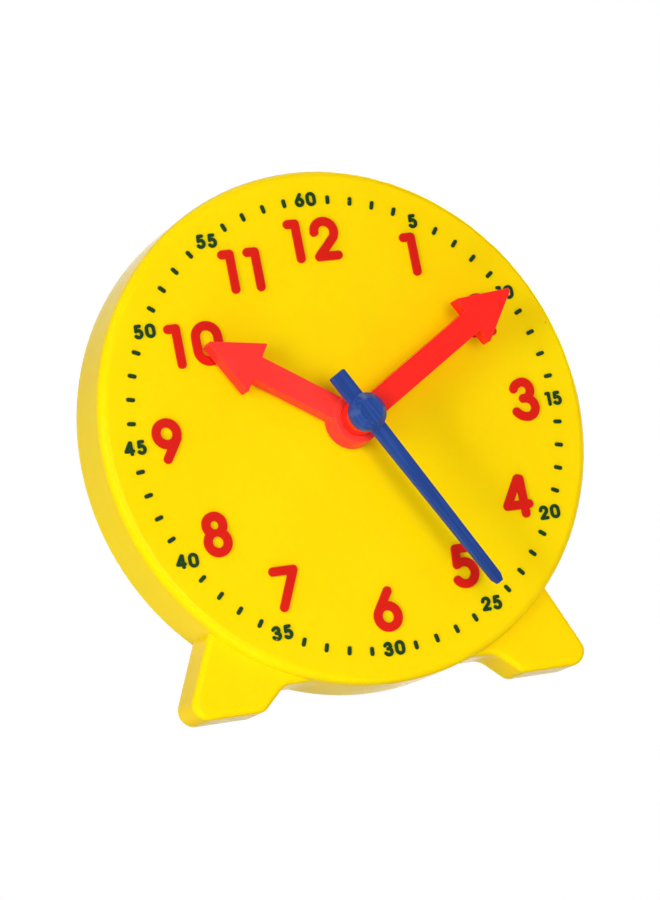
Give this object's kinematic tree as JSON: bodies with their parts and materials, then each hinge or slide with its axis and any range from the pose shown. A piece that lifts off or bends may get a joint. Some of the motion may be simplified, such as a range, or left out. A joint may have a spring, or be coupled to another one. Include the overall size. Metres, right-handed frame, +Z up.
{
  "type": "geared teaching clock",
  "caption": "Small round teaching clock on two feet, with raised hour numerals, minute marks and geared hands that a knob at the back turns together.",
  "frame": {"origin": "centre of the bounding box's base, on the plane of the two soles", "axes": "+Z up, +X to the right as the dial is read, the dial faces -Y"},
  "size_m": [0.1, 0.0292, 0.1016],
  "materials": {
    "case_yellow": "semi-gloss moulded yellow",
    "numeral_red": "semi-gloss red on raised numerals",
    "mark_green": "dark green on raised marks",
    "hand_red": "semi-gloss moulded red",
    "hand_blue": "semi-gloss moulded blue",
    "gear_white": "natural acetal",
    "gear_red": "moulded red",
    "gear_blue": "moulded blue",
    "plate_grey": "matt moulded grey",
    "steel": "turned and plated",
    "washer_brass": "spring brass"
  },
  "bodies": {
    "case": {"front_case": "case_yellow", "back_cover": "case_yellow", "hour_numerals": "numeral_red", "minute_numbers": "mark_green", "minute_ticks": "mark_green", "gear_plate": "plate_grey", "plate_screws": "steel", "case_screws": "steel", "center_post": "steel", "dial_washer": "washer_brass", "tension_washer": "washer_brass"},
    "idler": {"idler_gear": "gear_white", "knob_shaft": "steel", "set_knob": "hand_red", "knob_screw": "steel"},
    "minute": {"minute_hand": "hand_red", "minute_arbor": "gear_blue"},
    "hour": {"hour_hand": "hand_red", "hour_wheel": "gear_red"},
    "second": {"second_hand": "hand_blue"}
  },
  "joints": [
    {"name": "knob_turn", "type": "hinge", "parent": "case", "child": "idler", "pos_m": [0, -0.0037, 0.0276], "axis": [0, 1, 0], "continuous": true},
    {"name": "minute_turn", "type": "hinge", "parent": "case", "child": "minute", "pos_m": [0, -0.0037, 0.0516], "axis": [0, 1, 0], "continuous": true},
    {"name": "hour_turn", "type": "hinge", "parent": "case", "child": "hour", "pos_m": [0, -0.0037, 0.0516], "axis": [0, 1, 0], "continuous": true},
    {"name": "second_turn", "type": "hinge", "parent": "case", "child": "second", "pos_m": [0, -0.0037, 0.0516], "axis": [0, 1, 0], "continuous": true}
  ],
  "couplings": [
    {"joint": "minute_turn", "follows": "knob_turn", "ratio": -3},
    {"joint": "hour_turn", "follows": "knob_turn", "ratio": -0.25}
  ]
}
